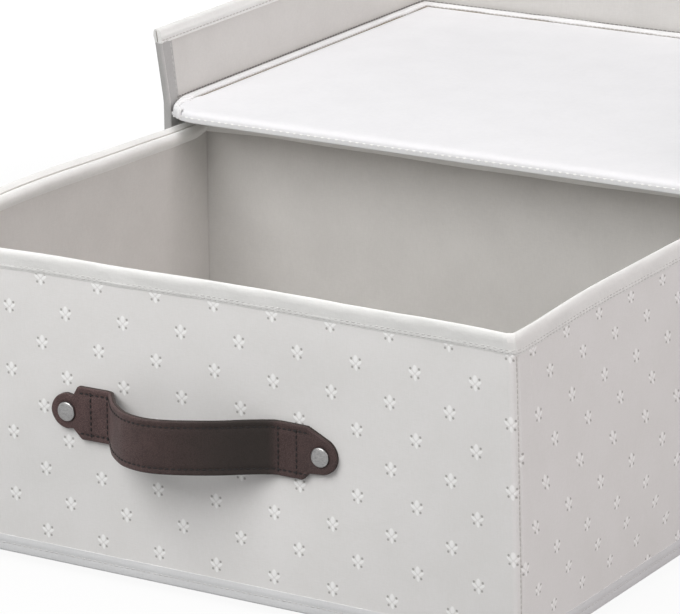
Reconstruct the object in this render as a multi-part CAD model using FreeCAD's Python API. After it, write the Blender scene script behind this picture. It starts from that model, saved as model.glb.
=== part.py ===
import FreeCAD, Part
import os
from math import sqrt
from FreeCAD import Vector

# A cloth-covered storage box for a shelf or wardrobe: an open-fronted case with a white deck
# inside a low rim on top, and one drawer with a strap handle that slides out of the case.
# Every panel is a sandwich of cover cloth, stiffening board and lining cloth, closed by
# hems and bindings at its free edges.
#
# Millimetres. X runs across the front, Y runs to the back and Z is up. The origin is on the
# shelf under the middle of the case. The drawer is drawn pulled out towards -Y.

# ---- cloth and boards ----
cloth = 0.6                     # cover and lining cloth, hems and bindings of one turn
tape = 0.8                      # heavier tape bound round the deck
drawer_board = 3.0              # stiffening board in the drawer's walls
drawer_base_board = 2.4
case_board = 2.4                # stiffening board in the case's walls
case_floor_board = 2.4
deck_board_thickness = 4.8

# ---- drawer ----
drawer_width = 366.0            # over the cover cloth
drawer_depth = 289.0            # over the cover cloth
drawer_height = 160.0           # underside to the top of the rim hem
drawer_corner_radius = 5.0      # upright corners, over the cover cloth
drawer_hem_depth = 10.5         # turned-over hem round the mouth
drawer_binding_height = 8.0     # plain binding round the foot
drawer_pulled_out = 246.0       # how far the drawer is open as drawn

# ---- case ----
deck_overhang = 12.0            # deck in front of the case's walls
deck_corner_radius = 28.0       # the deck's two front corners
deck_edge_round = 1.8           # softened edge of the deck, under its bindings
deck_binding_width = 7.0        # tape seen on top of the deck along the walls
deck_front_binding_width = 4.0  # tape seen on top of the deck along its front
rim_height = 41.5               # low walls above the deck
rim_lean = 3.2                  # how far the side walls lean out at the top of the rim
rim_hem_depth = 9.0
edge_binding_width = 8.0        # binding on the free front edges of walls and floor
case_binding_height = 8.0       # plain binding round the foot

# ---- running clearances of the drawer in the case ----
side_clearance = 3.4            # rim hem to the case's side lining
floor_clearance = 0.4           # drawer underside to the floor's front binding
deck_clearance = 1.0            # rim hem to the binding under the deck
back_clearance = 2.0            # rim hem to the case's back lining, drawer closed

# ---- strap handle ----
rivet_spacing = 147.0
rivet_height = 82.6             # rivet centres above the drawer's underside
strap_width = 27.2
strap_outer_layer = 1.6
strap_inner_layer = 1.4
tab_tip_radius = 9.5            # rounded tip, centred on the rivet
tab_neck = 3.4                  # where the tip starts to widen, inward of the rivet
tab_shoulder = 7.7              # where the strap has its full width
grip_chord = 96.2               # crease to crease
grip_rise = 23.5                # how far the grip stands off the drawer
crease_radius = 6.0             # bend at each end of the grip, on the strap's inner face

# ---- rivets ----
rivet_cap_radius = 5.0
rivet_cap_height = 1.8
rivet_cap_edge = 0.7
rivet_post_radius = 1.8
rivet_hole_clearance = 0.2
rivet_washer_radius = 5.0
rivet_washer_thickness = 0.8
rivet_head_radius = 2.8         # peened end inside the drawer
rivet_head_height = 0.9

# ---- layout worked out from the sizes above ----
drawer_wall = cloth + drawer_board + cloth
case_wall = cloth + case_board + cloth
strap_thickness = strap_outer_layer + strap_inner_layer

case_inner_half = drawer_width / 2 + cloth + side_clearance
case_outer_half = case_inner_half + case_wall
inner_depth = drawer_depth + cloth + back_clearance
case_depth = inner_depth - deck_overhang + case_wall
wall_front = -case_depth / 2
back_outer = case_depth / 2
back_inner = back_outer - case_wall
deck_front = wall_front - deck_overhang

floor_top = cloth + case_floor_board + cloth
drawer_bottom = floor_top + cloth + floor_clearance
drawer_top = drawer_bottom + drawer_height
deck_bottom = drawer_top + deck_clearance + tape
deck_top = deck_bottom + cloth + deck_board_thickness + cloth
rim_top = deck_top + rim_height
wall_top = rim_top - cloth

drawer_half = drawer_width / 2
drawer_front = deck_front - drawer_pulled_out
drawer_back = drawer_front + drawer_depth
drawer_wall_foot = drawer_bottom + cloth
drawer_wall_top = drawer_top - cloth
handle_z = drawer_bottom + rivet_height
rivet_hole_radius = rivet_post_radius + rivet_hole_clearance

SMALLEST_RADIUS = 0.05          # corners tighter than this are left square


def save(node, shape):
    """Write one named piece."""
    shape.exportStep("parts/" + node + ".step")


def block(x0, x1, y0, y1, z0, z1):
    """A flat board or sheet between two corners."""
    return Part.makeBox(x1 - x0, y1 - y0, z1 - z0, Vector(x0, y0, z0))


def outline(x0, x1, y0, y1, front_radius, back_radius, z):
    """A rectangle in plan with rounded front and back corners, as a face at height z."""
    corners = [(x0, y0, 1, 1, front_radius), (x1, y0, -1, 1, front_radius),
               (x1, y1, -1, -1, back_radius), (x0, y1, 1, -1, back_radius)]
    edges = []
    first = None
    last = None
    for place, (x, y, inward_x, inward_y, radius) in enumerate(corners):
        radius = radius if radius > SMALLEST_RADIUS else 0.0
        on_y_side = Vector(x, y + inward_y * radius, z)
        on_x_side = Vector(x + inward_x * radius, y, z)
        start, end = (on_y_side, on_x_side) if place % 2 == 0 else (on_x_side, on_y_side)
        if last is not None:
            edges.append(Part.LineSegment(last, start).toShape())
        if radius:
            reach = radius * (1 - sqrt(0.5))
            middle = Vector(x + inward_x * reach, y + inward_y * reach, z)
            edges.append(Part.Arc(start, middle, end).toShape())
        first = first or start
        last = end
    edges.append(Part.LineSegment(last, first).toShape())
    return Part.Face(Part.Wire(edges))


def slab(x0, x1, y0, y1, front_radius, back_radius, z0, z1):
    """An upright prism with a rounded rectangle as its plan."""
    return outline(x0, x1, y0, y1, front_radius, back_radius, z0).extrude(Vector(0, 0, z1 - z0))


def only_solid(shape):
    """The one solid that a cut or a join leaves, without its wrapping."""
    if len(shape.Solids) != 1:
        raise ValueError("expected one solid, got %d" % len(shape.Solids))
    return shape.Solids[0]


# ---------------------------------------------------------------------------------------
# Case
# ---------------------------------------------------------------------------------------

def leaning_x(base, z):
    """How far out a wall line at x = base stands at height z: upright, then leaning."""
    if z <= deck_top:
        return base
    return base + rim_lean * (z - deck_top) / rim_height


def side_panel(side, near, far, y0, y1, z0, z1):
    """A sheet of a side wall (side is -1 left, 1 right), bent outwards at the deck.

    near and far are its two faces' distances from the middle, measured below the deck."""
    heights = [z0, z1] if z0 >= deck_top or z1 <= deck_top else [z0, deck_top, z1]
    rising = [Vector(side * leaning_x(near, z), y0, z) for z in heights]
    falling = [Vector(side * leaning_x(far, z), y0, z) for z in reversed(heights)]
    points = rising + falling
    return Part.Face(Part.makePolygon(points + points[:1])).extrude(Vector(0, y1 - y0, 0))


def back_panel(half_width, y0, y1, z0, z1):
    """A sheet of the back wall, widening above the deck to follow the side walls."""
    heights = [z0, z1] if z0 >= deck_top or z1 <= deck_top else [z0, deck_top, z1]
    rising = [Vector(leaning_x(half_width, z), y0, z) for z in heights]
    falling = [Vector(-leaning_x(half_width, z), y0, z) for z in reversed(heights)]
    points = rising + falling
    return Part.Face(Part.makePolygon(points + points[:1])).extrude(Vector(0, y1 - y0, 0))


def deck_slab(grow):
    """The deck's plan, grown by a cloth thickness, as a square-edged slab, and its long edges."""
    body = slab(-case_inner_half + tape - grow, case_inner_half - tape + grow,
                deck_front + tape - grow, back_inner - tape + grow,
                deck_corner_radius - tape + grow, grow, deck_bottom - grow, deck_top + grow)
    level_edges = [edge for edge in body.Edges if edge.BoundBox.ZLength < SMALLEST_RADIUS]
    return body, level_edges


def deck_core():
    """The deck inside its tapes, with bevelled edges."""
    body, level_edges = deck_slab(0)
    return body.makeChamfer(deck_edge_round, level_edges)


def deck_envelope():
    """The deck's outer form over its tapes, with rounded edges."""
    body, level_edges = deck_slab(tape)
    return body.makeFillet(deck_edge_round + tape, level_edges)


def make_floor():
    """The floor: bottom cloth on the shelf, board, and the lining the drawer slides on."""
    save("case_bottom_cover", block(-case_outer_half, case_outer_half, wall_front, back_outer, 0, cloth))
    save("case_floor_board", block(-case_inner_half, case_inner_half, wall_front, back_inner,
                                   cloth, cloth + case_floor_board))
    save("case_floor_lining", block(-case_inner_half, case_inner_half, wall_front, back_inner,
                                    cloth + case_floor_board, floor_top))
    around = block(-case_inner_half, case_inner_half, wall_front - cloth,
                   wall_front + edge_binding_width, 0, floor_top + cloth)
    inside = block(-case_inner_half, case_inner_half, wall_front, back_inner, 0, floor_top)
    save("floor_edge_binding", only_solid(around.cut(inside)))


def make_side_walls():
    """Left and right walls, each one board from the floor to the top of the rim."""
    for side, name in ((-1, "left"), (1, "right")):
        faces = [case_inner_half, case_inner_half + cloth,
                 case_inner_half + cloth + case_board, case_outer_half]
        for layer, near, far in zip(("lining", "board", "cover"), faces[:-1], faces[1:]):
            sheet = side_panel(side, near, far, wall_front, back_outer - cloth, cloth, wall_top)
            save("case_%s_%s" % (name, layer), sheet)


def make_back_wall():
    """Back wall: board and lining stand between the sides, the cover runs across them."""
    save("case_back_cover", back_panel(case_outer_half, back_outer - cloth, back_outer, cloth, wall_top))
    save("case_back_board", back_panel(case_inner_half, back_inner + cloth, back_outer - cloth,
                                       cloth, wall_top))
    save("case_back_lining", back_panel(case_inner_half, back_inner, back_inner + cloth, cloth, wall_top))


def wall_stack():
    """All three case walls as one volume, for what is folded over them."""
    left = side_panel(-1, case_inner_half, case_outer_half, wall_front, back_outer - cloth,
                      cloth, wall_top)
    right = side_panel(1, case_inner_half, case_outer_half, wall_front, back_outer - cloth,
                       cloth, wall_top)
    back = back_panel(case_outer_half, back_outer - cloth, back_outer, cloth, wall_top)
    back_core = back_panel(case_inner_half, back_inner, back_outer - cloth, cloth, wall_top)
    return left.fuse([right, back, back_core])


def make_rim_hem(walls):
    """The hem turned over the top of the three walls."""
    foot = wall_top - rim_hem_depth
    strips = [side_panel(side, case_inner_half - cloth, case_outer_half + cloth,
                         wall_front, back_outer + cloth, foot, rim_top) for side in (-1, 1)]
    strips.append(back_panel(case_outer_half + cloth, back_inner - cloth, back_outer + cloth,
                             foot, rim_top))
    hem = only_solid(strips[0].fuse(strips[1:]).cut(walls).removeSplitter())
    save("case_rim_hem", hem)
    return hem


def make_case_bindings(walls, hem):
    """Bindings on the walls' free front edges, and round the foot outside."""
    foot_band = block(-case_outer_half - cloth, case_outer_half + cloth,
                      wall_front, back_outer + cloth, 0, case_binding_height)
    foot_core = block(-case_outer_half, case_outer_half, wall_front, back_outer, 0, case_binding_height)
    foot_binding = only_solid(foot_band.cut(foot_core))
    save("case_foot_binding", foot_binding)
    floor = block(-case_inner_half, case_inner_half, wall_front - cloth, back_inner,
                  0, floor_top + cloth)
    bottom_cover = block(-case_outer_half, case_outer_half, wall_front, back_outer, 0, cloth)
    for side, name in ((-1, "left"), (1, "right")):
        around = side_panel(side, case_inner_half - cloth, case_outer_half + cloth,
                            wall_front - cloth, wall_front + edge_binding_width, 0, rim_top)
        around = around.cut([walls, hem, foot_binding, floor, bottom_cover, deck_envelope()])
        largest = max(around.Solids, key=lambda solid: solid.Volume)
        save("%s_edge_binding" % name, largest)


def make_deck():
    """The deck on top of the case: board, two cloths and the tapes bound round its edge."""
    core = deck_core()
    reach = case_outer_half + deck_overhang + case_depth
    board_bottom = deck_bottom + cloth
    board_top = deck_top - cloth
    layers = (("deck_underside", deck_bottom, board_bottom), ("deck_board", board_bottom, board_top),
              ("deck_cover", board_top, deck_top))
    for name, z0, z1 in layers:
        save(name, only_solid(core.common(block(-reach, reach, -reach, reach, z0, z1))))

    wrapped = deck_envelope().cut(core)
    front_line = deck_front + deck_corner_radius
    side_hole = slab(-case_inner_half + deck_binding_width, case_inner_half - deck_binding_width,
                     deck_front + deck_front_binding_width, back_inner - deck_binding_width,
                     deck_corner_radius - deck_binding_width, 0, deck_bottom - tape, deck_top + tape)
    wrapped = wrapped.cut(side_hole)
    front_half = case_inner_half - deck_corner_radius
    front_zone = block(-front_half, front_half, deck_front - tape, front_line,
                       deck_bottom - tape, deck_top + tape)
    save("deck_front_binding", only_solid(wrapped.common(front_zone)))
    save("deck_edge_binding", only_solid(wrapped.cut(front_zone)))


# ---------------------------------------------------------------------------------------
# Drawer
# ---------------------------------------------------------------------------------------

def drawer_plan(inset, z0, z1):
    """The drawer's plan, drawn in (or out, if negative) by a thickness, as a prism."""
    return slab(-drawer_half + inset, drawer_half - inset, drawer_front + inset, drawer_back - inset,
                drawer_corner_radius - inset, drawer_corner_radius - inset, z0, z1)


def wall_zone(wall):
    """The part of the drawer that belongs to one wall, cut at 45 degrees in its corners."""
    past = 2 * cloth
    depth = drawer_corner_radius + drawer_wall + past
    x0, x1 = -drawer_half - past, drawer_half + past
    y0, y1 = drawer_front - past, drawer_back + past
    plans = {
        "front": [(x0, y0), (x1, y0), (x1 - depth, y0 + depth), (x0 + depth, y0 + depth)],
        "back": [(x0, y1), (x1, y1), (x1 - depth, y1 - depth), (x0 + depth, y1 - depth)],
        "left": [(x0, y0), (x0, y1), (x0 + depth, y1 - depth), (x0 + depth, y0 + depth)],
        "right": [(x1, y0), (x1, y1), (x1 - depth, y1 - depth), (x1 - depth, y0 + depth)],
    }
    points = [Vector(x, y, drawer_wall_foot) for x, y in plans[wall]]
    face = Part.Face(Part.makePolygon(points + points[:1]))
    return face.extrude(Vector(0, 0, drawer_wall_top - drawer_wall_foot))


def drawer_board_block(wall):
    """The flat stiffening board of one wall, between the rounded corners."""
    x_reach = drawer_half - drawer_corner_radius
    y0, y1 = drawer_front + drawer_corner_radius, drawer_back - drawer_corner_radius
    near, far = cloth, cloth + drawer_board
    spans = {
        "front": (-x_reach, x_reach, drawer_front + near, drawer_front + far),
        "back": (-x_reach, x_reach, drawer_back - far, drawer_back - near),
        "left": (-drawer_half + near, -drawer_half + far, y0, y1),
        "right": (drawer_half - far, drawer_half - near, y0, y1),
    }
    x0, x1, ya, yb = spans[wall]
    return block(x0, x1, ya, yb, drawer_wall_foot, drawer_wall_top)


def rivet_holes():
    """The two holes through the drawer's front and the handle."""
    length = 2 * (drawer_wall + strap_thickness)
    start = drawer_front - length / 2
    return [Part.makeCylinder(rivet_hole_radius, length, Vector(x, start, handle_z), Vector(0, 1, 0))
            for x in (-rivet_spacing / 2, rivet_spacing / 2)]


def make_drawer_walls():
    """Four walls, each a cover panel sewn to its neighbours at the corners, board and lining."""
    cover_ring = drawer_plan(0, drawer_wall_foot, drawer_wall_top)
    cover_ring = cover_ring.cut(drawer_plan(cloth, drawer_wall_foot, drawer_wall_top))
    lining_ring = drawer_plan(cloth + drawer_board, drawer_wall_foot, drawer_wall_top)
    lining_ring = lining_ring.cut(drawer_plan(drawer_wall, drawer_wall_foot, drawer_wall_top))
    for wall in ("front", "back", "left", "right"):
        zone = wall_zone(wall)
        sheets = {"cover": cover_ring.common(zone), "board": drawer_board_block(wall),
                  "lining": lining_ring.common(zone)}
        for layer, sheet in sheets.items():
            if wall == "front":
                sheet = sheet.cut(rivet_holes())
            save("drawer_%s_%s" % (wall, layer), only_solid(sheet))


def make_drawer_base():
    """The base: cloth underneath, board and lining between the walls."""
    board_top = drawer_wall_foot + drawer_base_board
    save("drawer_base_cover", drawer_plan(0, drawer_bottom, drawer_wall_foot))
    save("drawer_base_board", drawer_plan(drawer_wall, drawer_wall_foot, board_top))
    save("drawer_base_lining", drawer_plan(drawer_wall, board_top, board_top + cloth))


def make_drawer_trim():
    """The hem turned over the mouth and the plain binding round the foot."""
    hem_foot = drawer_wall_top - drawer_hem_depth
    hem = drawer_plan(-cloth, hem_foot, drawer_top)
    hem = hem.cut(drawer_plan(drawer_wall + cloth, hem_foot, drawer_top))
    walls = drawer_plan(0, hem_foot, drawer_wall_top)
    walls = walls.cut(drawer_plan(drawer_wall, hem_foot, drawer_wall_top))
    save("drawer_rim_hem", only_solid(hem.cut(walls)))
    binding_top = drawer_bottom + drawer_binding_height
    binding = drawer_plan(-cloth, drawer_bottom, binding_top)
    save("drawer_foot_binding", only_solid(binding.cut(drawer_plan(0, drawer_bottom, binding_top))))


# ---------------------------------------------------------------------------------------
# Strap handle
# ---------------------------------------------------------------------------------------

def strap_layer(near, far):
    """One leather layer between two distances from the strap's inner face.

    The path runs flat along a tab, turns out through a crease, round the arched grip and
    back. y is measured outwards from the drawer and turned to -Y at the end."""
    grip_radius = (grip_chord ** 2 / 4 + grip_rise ** 2) / (2 * grip_rise)
    grip_centre = grip_rise - grip_radius
    turn_x = sqrt((grip_radius + crease_radius) ** 2 - (crease_radius - grip_centre) ** 2)
    share = grip_radius / (grip_radius + crease_radius)
    tip_x = rivet_spacing / 2 + tab_tip_radius

    def at(x, y):
        return Vector(x, drawer_front - y, handle_z - strap_width)

    def offset_path(distance):
        """Tab end, crease start, crease middle, crease end and top of one face's path."""
        bend = crease_radius - distance
        meet_x = turn_x * share
        meet_y = grip_centre + (crease_radius - grip_centre) * share
        out_x, out_y = meet_x / grip_radius, (meet_y - grip_centre) / grip_radius
        end_x, end_y = meet_x + distance * out_x, meet_y + distance * out_y
        half_x = (0 - out_x) / 2
        half_y = (-1 - out_y) / 2
        size = sqrt(half_x ** 2 + half_y ** 2)
        mid_x = turn_x + bend * half_x / size
        mid_y = crease_radius + bend * half_y / size
        return [(tip_x, distance), (turn_x, distance), (mid_x, mid_y), (end_x, end_y),
                (0, grip_rise + distance)]

    def half_edges(path, sign):
        tip, turn, mid, end, top = [at(sign * x, y) for x, y in path]
        return tip, turn, mid, end, top

    edges = []
    ends = []
    for path in (offset_path(near), offset_path(far)):
        tip_r, turn_r, mid_r, end_r, top = half_edges(path, 1)
        tip_l, turn_l, mid_l, end_l, top = half_edges(path, -1)
        edges.append(Part.LineSegment(tip_l, turn_l).toShape())
        edges.append(Part.Arc(turn_l, mid_l, end_l).toShape())
        edges.append(Part.Arc(end_l, top, end_r).toShape())
        edges.append(Part.Arc(end_r, mid_r, turn_r).toShape())
        edges.append(Part.LineSegment(turn_r, tip_r).toShape())
        ends.append((tip_l, tip_r))
    for near_end, far_end in zip(ends[0], ends[1]):
        edges.append(Part.LineSegment(near_end, far_end).toShape())
    wire = Part.Wire(Part.__sortEdges__(edges))
    return Part.Face(wire).extrude(Vector(0, 0, 2 * strap_width))


def strap_outline():
    """The strap's shape from the front: full width between shoulders, rounded tips."""
    rivet_x = rivet_spacing / 2
    half = strap_width / 2
    neck_z = sqrt(tab_tip_radius ** 2 - tab_neck ** 2)
    deepest = grip_rise + strap_thickness + crease_radius

    def at(x, z):
        return Vector(x, drawer_front + cloth, handle_z + z)

    def tip(sign):
        return Part.Arc(at(sign * (rivet_x - tab_neck), sign * neck_z),
                        at(sign * (rivet_x + tab_tip_radius), 0),
                        at(sign * (rivet_x - tab_neck), -sign * neck_z)).toShape()

    def line(x0, z0, x1, z1):
        return Part.LineSegment(at(x0, z0), at(x1, z1)).toShape()

    neck_x, shoulder_x = rivet_x - tab_neck, rivet_x - tab_shoulder
    edges = [tip(1), line(neck_x, -neck_z, shoulder_x, -half), line(shoulder_x, -half, -shoulder_x, -half),
             line(-shoulder_x, -half, -neck_x, -neck_z), tip(-1), line(-neck_x, neck_z, -shoulder_x, half),
             line(-shoulder_x, half, shoulder_x, half), line(shoulder_x, half, neck_x, neck_z)]
    wire = Part.Wire(Part.__sortEdges__(edges))
    return Part.Face(wire).extrude(Vector(0, -deepest - cloth, 0))


def make_strap():
    """Two leather layers, sewn together and riveted through both tabs."""
    shape = strap_outline()
    layers = (("handle_backing", 0, strap_inner_layer),
              ("handle_strap", strap_inner_layer, strap_thickness))
    for name, near, far in layers:
        layer = strap_layer(near, far).common(shape).cut(rivet_holes())
        save(name, only_solid(layer))


def dome(at, radius, edge_y, top_y):
    """A spherical cap's section, from its edge to its top on the axis."""
    height = top_y - edge_y
    sphere = (radius ** 2 + height ** 2) / (2 * abs(height))
    centre_y = top_y - sphere if height > 0 else top_y + sphere
    half_r = radius / 2
    half_y = sqrt(sphere ** 2 - half_r ** 2)
    middle_y = centre_y + half_y if height > 0 else centre_y - half_y
    return Part.Arc(at(radius, edge_y), at(half_r, middle_y), at(0, top_y)).toShape()


def rivet(x):
    """One rivet: domed cap on the strap, post through the wall and a peened end inside."""
    cap_seat = -strap_thickness
    cap_top = cap_seat - rivet_cap_height
    cap_rim = cap_seat - rivet_cap_edge
    washer_face = drawer_wall + rivet_washer_thickness
    head_top = washer_face + rivet_head_height

    def at(r, y):
        return Vector(x + r, drawer_front + y, handle_z)

    corners = [at(rivet_cap_radius, cap_rim), at(rivet_cap_radius, cap_seat),
               at(rivet_post_radius, cap_seat), at(rivet_post_radius, washer_face),
               at(rivet_head_radius, washer_face)]
    edges = [dome(at, rivet_cap_radius, cap_rim, cap_top), dome(at, rivet_head_radius, washer_face, head_top)]
    edges += [Part.LineSegment(a, b).toShape() for a, b in zip(corners[:-1], corners[1:])]
    edges.append(Part.LineSegment(at(0, head_top), at(0, cap_top)).toShape())
    section = Part.Face(Part.Wire(Part.__sortEdges__(edges)))
    return section.revolve(at(0, 0), Vector(0, 1, 0), 360).Solids[0]


def washer(x):
    """The washer under a rivet's peened end, on the lining inside the drawer."""
    seat = Vector(x, drawer_front + drawer_wall, handle_z)
    disc = Part.makeCylinder(rivet_washer_radius, rivet_washer_thickness, seat, Vector(0, 1, 0))
    hole = Part.makeCylinder(rivet_hole_radius, rivet_washer_thickness, seat, Vector(0, 1, 0))
    return disc.cut(hole)


def make_rivets():
    """Two rivets and their washers."""
    places = (-rivet_spacing / 2, rivet_spacing / 2)
    save("handle_rivets", Part.makeCompound([rivet(x) for x in places]))
    save("rivet_washers", Part.makeCompound([washer(x) for x in places]))


os.makedirs("parts", exist_ok=True)
make_floor()
make_side_walls()
make_back_wall()
case_walls = wall_stack()
rim_hem = make_rim_hem(case_walls)
make_case_bindings(case_walls, rim_hem)
make_deck()
make_drawer_walls()
make_drawer_base()
make_drawer_trim()
make_strap()
make_rivets()
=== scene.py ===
import math

import bpy
import numpy as np
from mathutils import Matrix, Vector, noise


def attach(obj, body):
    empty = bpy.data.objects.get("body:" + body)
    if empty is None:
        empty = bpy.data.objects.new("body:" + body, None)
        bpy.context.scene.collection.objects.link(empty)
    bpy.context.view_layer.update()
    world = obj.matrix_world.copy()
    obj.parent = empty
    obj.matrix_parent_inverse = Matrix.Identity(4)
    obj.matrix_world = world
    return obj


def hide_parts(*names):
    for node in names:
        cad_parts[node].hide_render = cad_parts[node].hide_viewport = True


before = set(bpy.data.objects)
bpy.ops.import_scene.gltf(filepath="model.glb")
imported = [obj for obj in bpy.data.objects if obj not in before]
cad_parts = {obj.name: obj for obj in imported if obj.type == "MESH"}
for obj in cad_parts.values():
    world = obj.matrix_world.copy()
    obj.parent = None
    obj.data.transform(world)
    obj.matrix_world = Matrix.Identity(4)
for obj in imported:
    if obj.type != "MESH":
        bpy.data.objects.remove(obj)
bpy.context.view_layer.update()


# ----------------------------------------------
# Camera: a long lens in front of the box, to its right and a little above it, rolled by
# less than a degree.
# ----------------------------------------------
camera_place = Vector((1.11026, -2.05297, 0.76354))
camera_target = Vector((-0.05169, -0.17971, 0.0846))
camera_roll = -0.0130966
camera_lens = 227.647
sensor_width = 36

ahead = (camera_target - camera_place).normalized()
level_right = ahead.cross(Vector((0, 0, 1))).normalized()
level_up = level_right.cross(ahead)
turned_right = math.cos(camera_roll) * level_right + math.sin(camera_roll) * level_up
turned_up = math.cos(camera_roll) * level_up - math.sin(camera_roll) * level_right
scene = bpy.context.scene
camera = bpy.data.objects.new("camera", bpy.data.cameras.new("camera"))
camera.data.lens = camera_lens
camera.data.sensor_width = sensor_width
camera.matrix_world = (
    Matrix.Translation(camera_place)
    @ Matrix((turned_right, turned_up, -ahead)).transposed().to_4x4()
)
scene.collection.objects.link(camera)
scene.camera = camera
scene.view_settings.view_transform = "Standard"


# ----------------------------------------------
# Studio: a white floor that keeps a soft shadow, three large lamps and a pale world. The
# lamp above the box lights it evenly, and a warm one on the right lights its side.
# ----------------------------------------------
floor_half = 4.0
floor_fade = (0.45, 0.95)
floor_glow = (0.85, 1.0)
floor_grey = 0.3
floor_emission = 1.1
world_light = 0.3
lamps = (
    ("lamp_front", (-0.28, -1.22, 1.05), (0.0, -0.25, 0.1), 0.9, 12.7, (1.0, 0.995, 0.99)),
    ("lamp_top", (-0.2, -0.1, 2.9), (0.0, -0.1, 0.1), 2.0, 25.5, (1.0, 1.0, 1.0)),
    ("lamp_right", (2.6, -0.6, 1.3), (0.0, -0.25, 0.1), 1.3, 33.0, (1.0, 0.925, 0.925)),
)

for name, place, target, size, watts, colour in lamps:
    lamp = bpy.data.objects.new(name, bpy.data.lights.new(name, "AREA"))
    lamp.data.size = size
    lamp.data.energy = watts
    lamp.data.color = colour
    lamp.location = place
    lamp.visible_camera = False
    lamp.rotation_mode = "QUATERNION"
    aim = Vector(target) - Vector(place)
    lamp.rotation_quaternion = aim.to_track_quat("-Z", "Y")
    scene.collection.objects.link(lamp)


class Strand:
    """A socket in a node tree. Sums on it add their Math nodes, and node() adds any other."""

    def __init__(self, tree, socket=None):
        self.tree = tree
        self.socket = socket

    def node(self, kind, inputs=(), output=0, **settings):
        """Adds a node, sets and links its inputs, and gives the strand from one of its outputs."""
        made = self.tree.nodes.new(kind)
        for name, value in settings.items():
            setattr(made, name, value)
        for name, value in dict(inputs).items():
            if isinstance(value, Strand):
                self.tree.links.new(value.socket, made.inputs[name])
            else:
                made.inputs[name].default_value = value
        return Strand(self.tree, made.outputs[output]) if len(made.outputs) else None

    def beside(self, name):
        """The strand from another output of the same node."""
        return Strand(self.tree, self.socket.node.outputs[name])

    def maths(self, operation, first, second=0.0):
        return self.node("ShaderNodeMath", {0: first, 1: second}, operation=operation)

    def __add__(self, other):
        return self.maths("ADD", self, other)

    def __sub__(self, other):
        return self.maths("SUBTRACT", self, other)

    def __rsub__(self, other):
        return self.maths("SUBTRACT", other, self)

    def __mul__(self, other):
        return self.maths("MULTIPLY", self, other)

    __radd__ = __add__
    __rmul__ = __mul__


def emptied(owner):
    """A strand in the node tree of a world or a material, with nothing in it yet."""
    owner.use_nodes = True
    owner.node_tree.nodes.clear()
    return Strand(owner.node_tree)


def smooth(value, low, high, start=0.0, end=1.0):
    """value turned into start below low and end above high, with a soft step between."""
    return value.node("ShaderNodeMapRange",
                      {"Value": value, "From Min": low, "From Max": high, "To Min": start, "To Max": end},
                      interpolation_type="SMOOTHSTEP")


def seen_straight(tree):
    """1 for what the camera sees itself, in a mirror or through glass."""
    seen = tree.node("ShaderNodeLightPath")
    both = tree.maths("MAXIMUM", seen, seen.beside("Is Glossy Ray"))
    return tree.maths("MAXIMUM", both, seen.beside("Is Transmission Ray"))


world = bpy.data.worlds.new("studio")
sky = emptied(world)
lit = seen_straight(sky) * (1 - world_light) + world_light
sky.node("ShaderNodeOutputWorld",
         {"Surface": sky.node("ShaderNodeBackground", {"Color": (1, 1, 1, 1), "Strength": lit})})
scene.world = world

floor_material = bpy.data.materials.new("studio_floor")
paper = emptied(floor_material)
from_middle = paper.node("ShaderNodeVectorMath", {0: paper.node("ShaderNodeTexCoord", output=3)},
                         output=1, operation="LENGTH")
fade = smooth(from_middle, *floor_fade, *floor_glow)
matt = paper.node("ShaderNodeBsdfDiffuse", {"Color": (floor_grey, floor_grey, floor_grey, 1)})
glow = paper.node("ShaderNodeEmission", {"Color": (1, 1, 1, 1), "Strength": floor_emission})
surface = paper.node("ShaderNodeMixShader", {0: seen_straight(paper) * fade, 1: matt, 2: glow})
paper.node("ShaderNodeOutputMaterial", {"Surface": surface})
floor_mesh = bpy.data.meshes.new("floor")
floor_corners = [(-floor_half, -floor_half, 0), (floor_half, -floor_half, 0),
                 (floor_half, floor_half, 0), (-floor_half, floor_half, 0)]
floor_mesh.from_pydata(floor_corners, [], [(0, 1, 2, 3)])
floor_mesh.materials.append(floor_material)
floor = bpy.data.objects.new("floor", floor_mesh)
scene.collection.objects.link(floor)


# ----------------------------------------------
# Case walls: stiff card between a printed cover and a plain lining. The cover is sewn
# together down the two back corners, and the side walls lean out a little above the deck.
# ----------------------------------------------
cloth = 0.6
case_half = 190.6
case_front = -141.6
case_back = 141.6
case_wall = 3.6
case_inner_half = case_half - case_wall
case_corner = 1.8
deck_top = 172.4
rim_top = 213.9
rim_lean = 3.2
free_edge_depth = 40.0
free_edge_back = 2.2
seam_slack = 0.5
seam_width = 1.3
hem_zone = 12.0
crease_depth = 0.55
crease_width = 1.1
print_height = 153.6
line_overrun = 5.0
cloth_roughness = 0.85
print_repeat = 33.5
print_row = 16.72
print_shift = 0.43
floret_scale = 1.13
floret_petals = ((0.0, 2.3, 0.0, 1.4, 2.2), (0.2, -2.6, 0.12, 0.95, 1.8),
                 (-2.3, 0.25, 0.95, 0.85, 2.0), (2.3, 0.2, -0.95, 0.85, 1.9))
floret_dots = ((-2.75, 2.35), (2.75, 2.35), (-2.2, -2.4), (2.2, -2.4))


def srgb(red, green, blue):
    """A colour as it looks on a screen, from 0 to 255, as a socket wants it."""
    parts = [part / 255 for part in (red, green, blue)]
    return tuple(p / 12.92 if p < 0.04045 else ((p + 0.055) / 1.055) ** 2.4 for p in parts) + (1,)


def blend(factor, first, second):
    """first where factor is 0 and second where it is 1, both colours."""
    return factor.node("ShaderNodeMix", {0: factor, 6: first, 7: second}, output=2, data_type="RGBA")


def stretched_noise(at, stretch, detail=2.0):
    """Noise on a position in millimetres, stretched by three factors."""
    moved = at.node("ShaderNodeVectorMath", {0: at, 1: stretch}, operation="MULTIPLY")
    return at.node("ShaderNodeTexNoise", {"Vector": moved, "Scale": 1.0, "Detail": detail})


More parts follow.
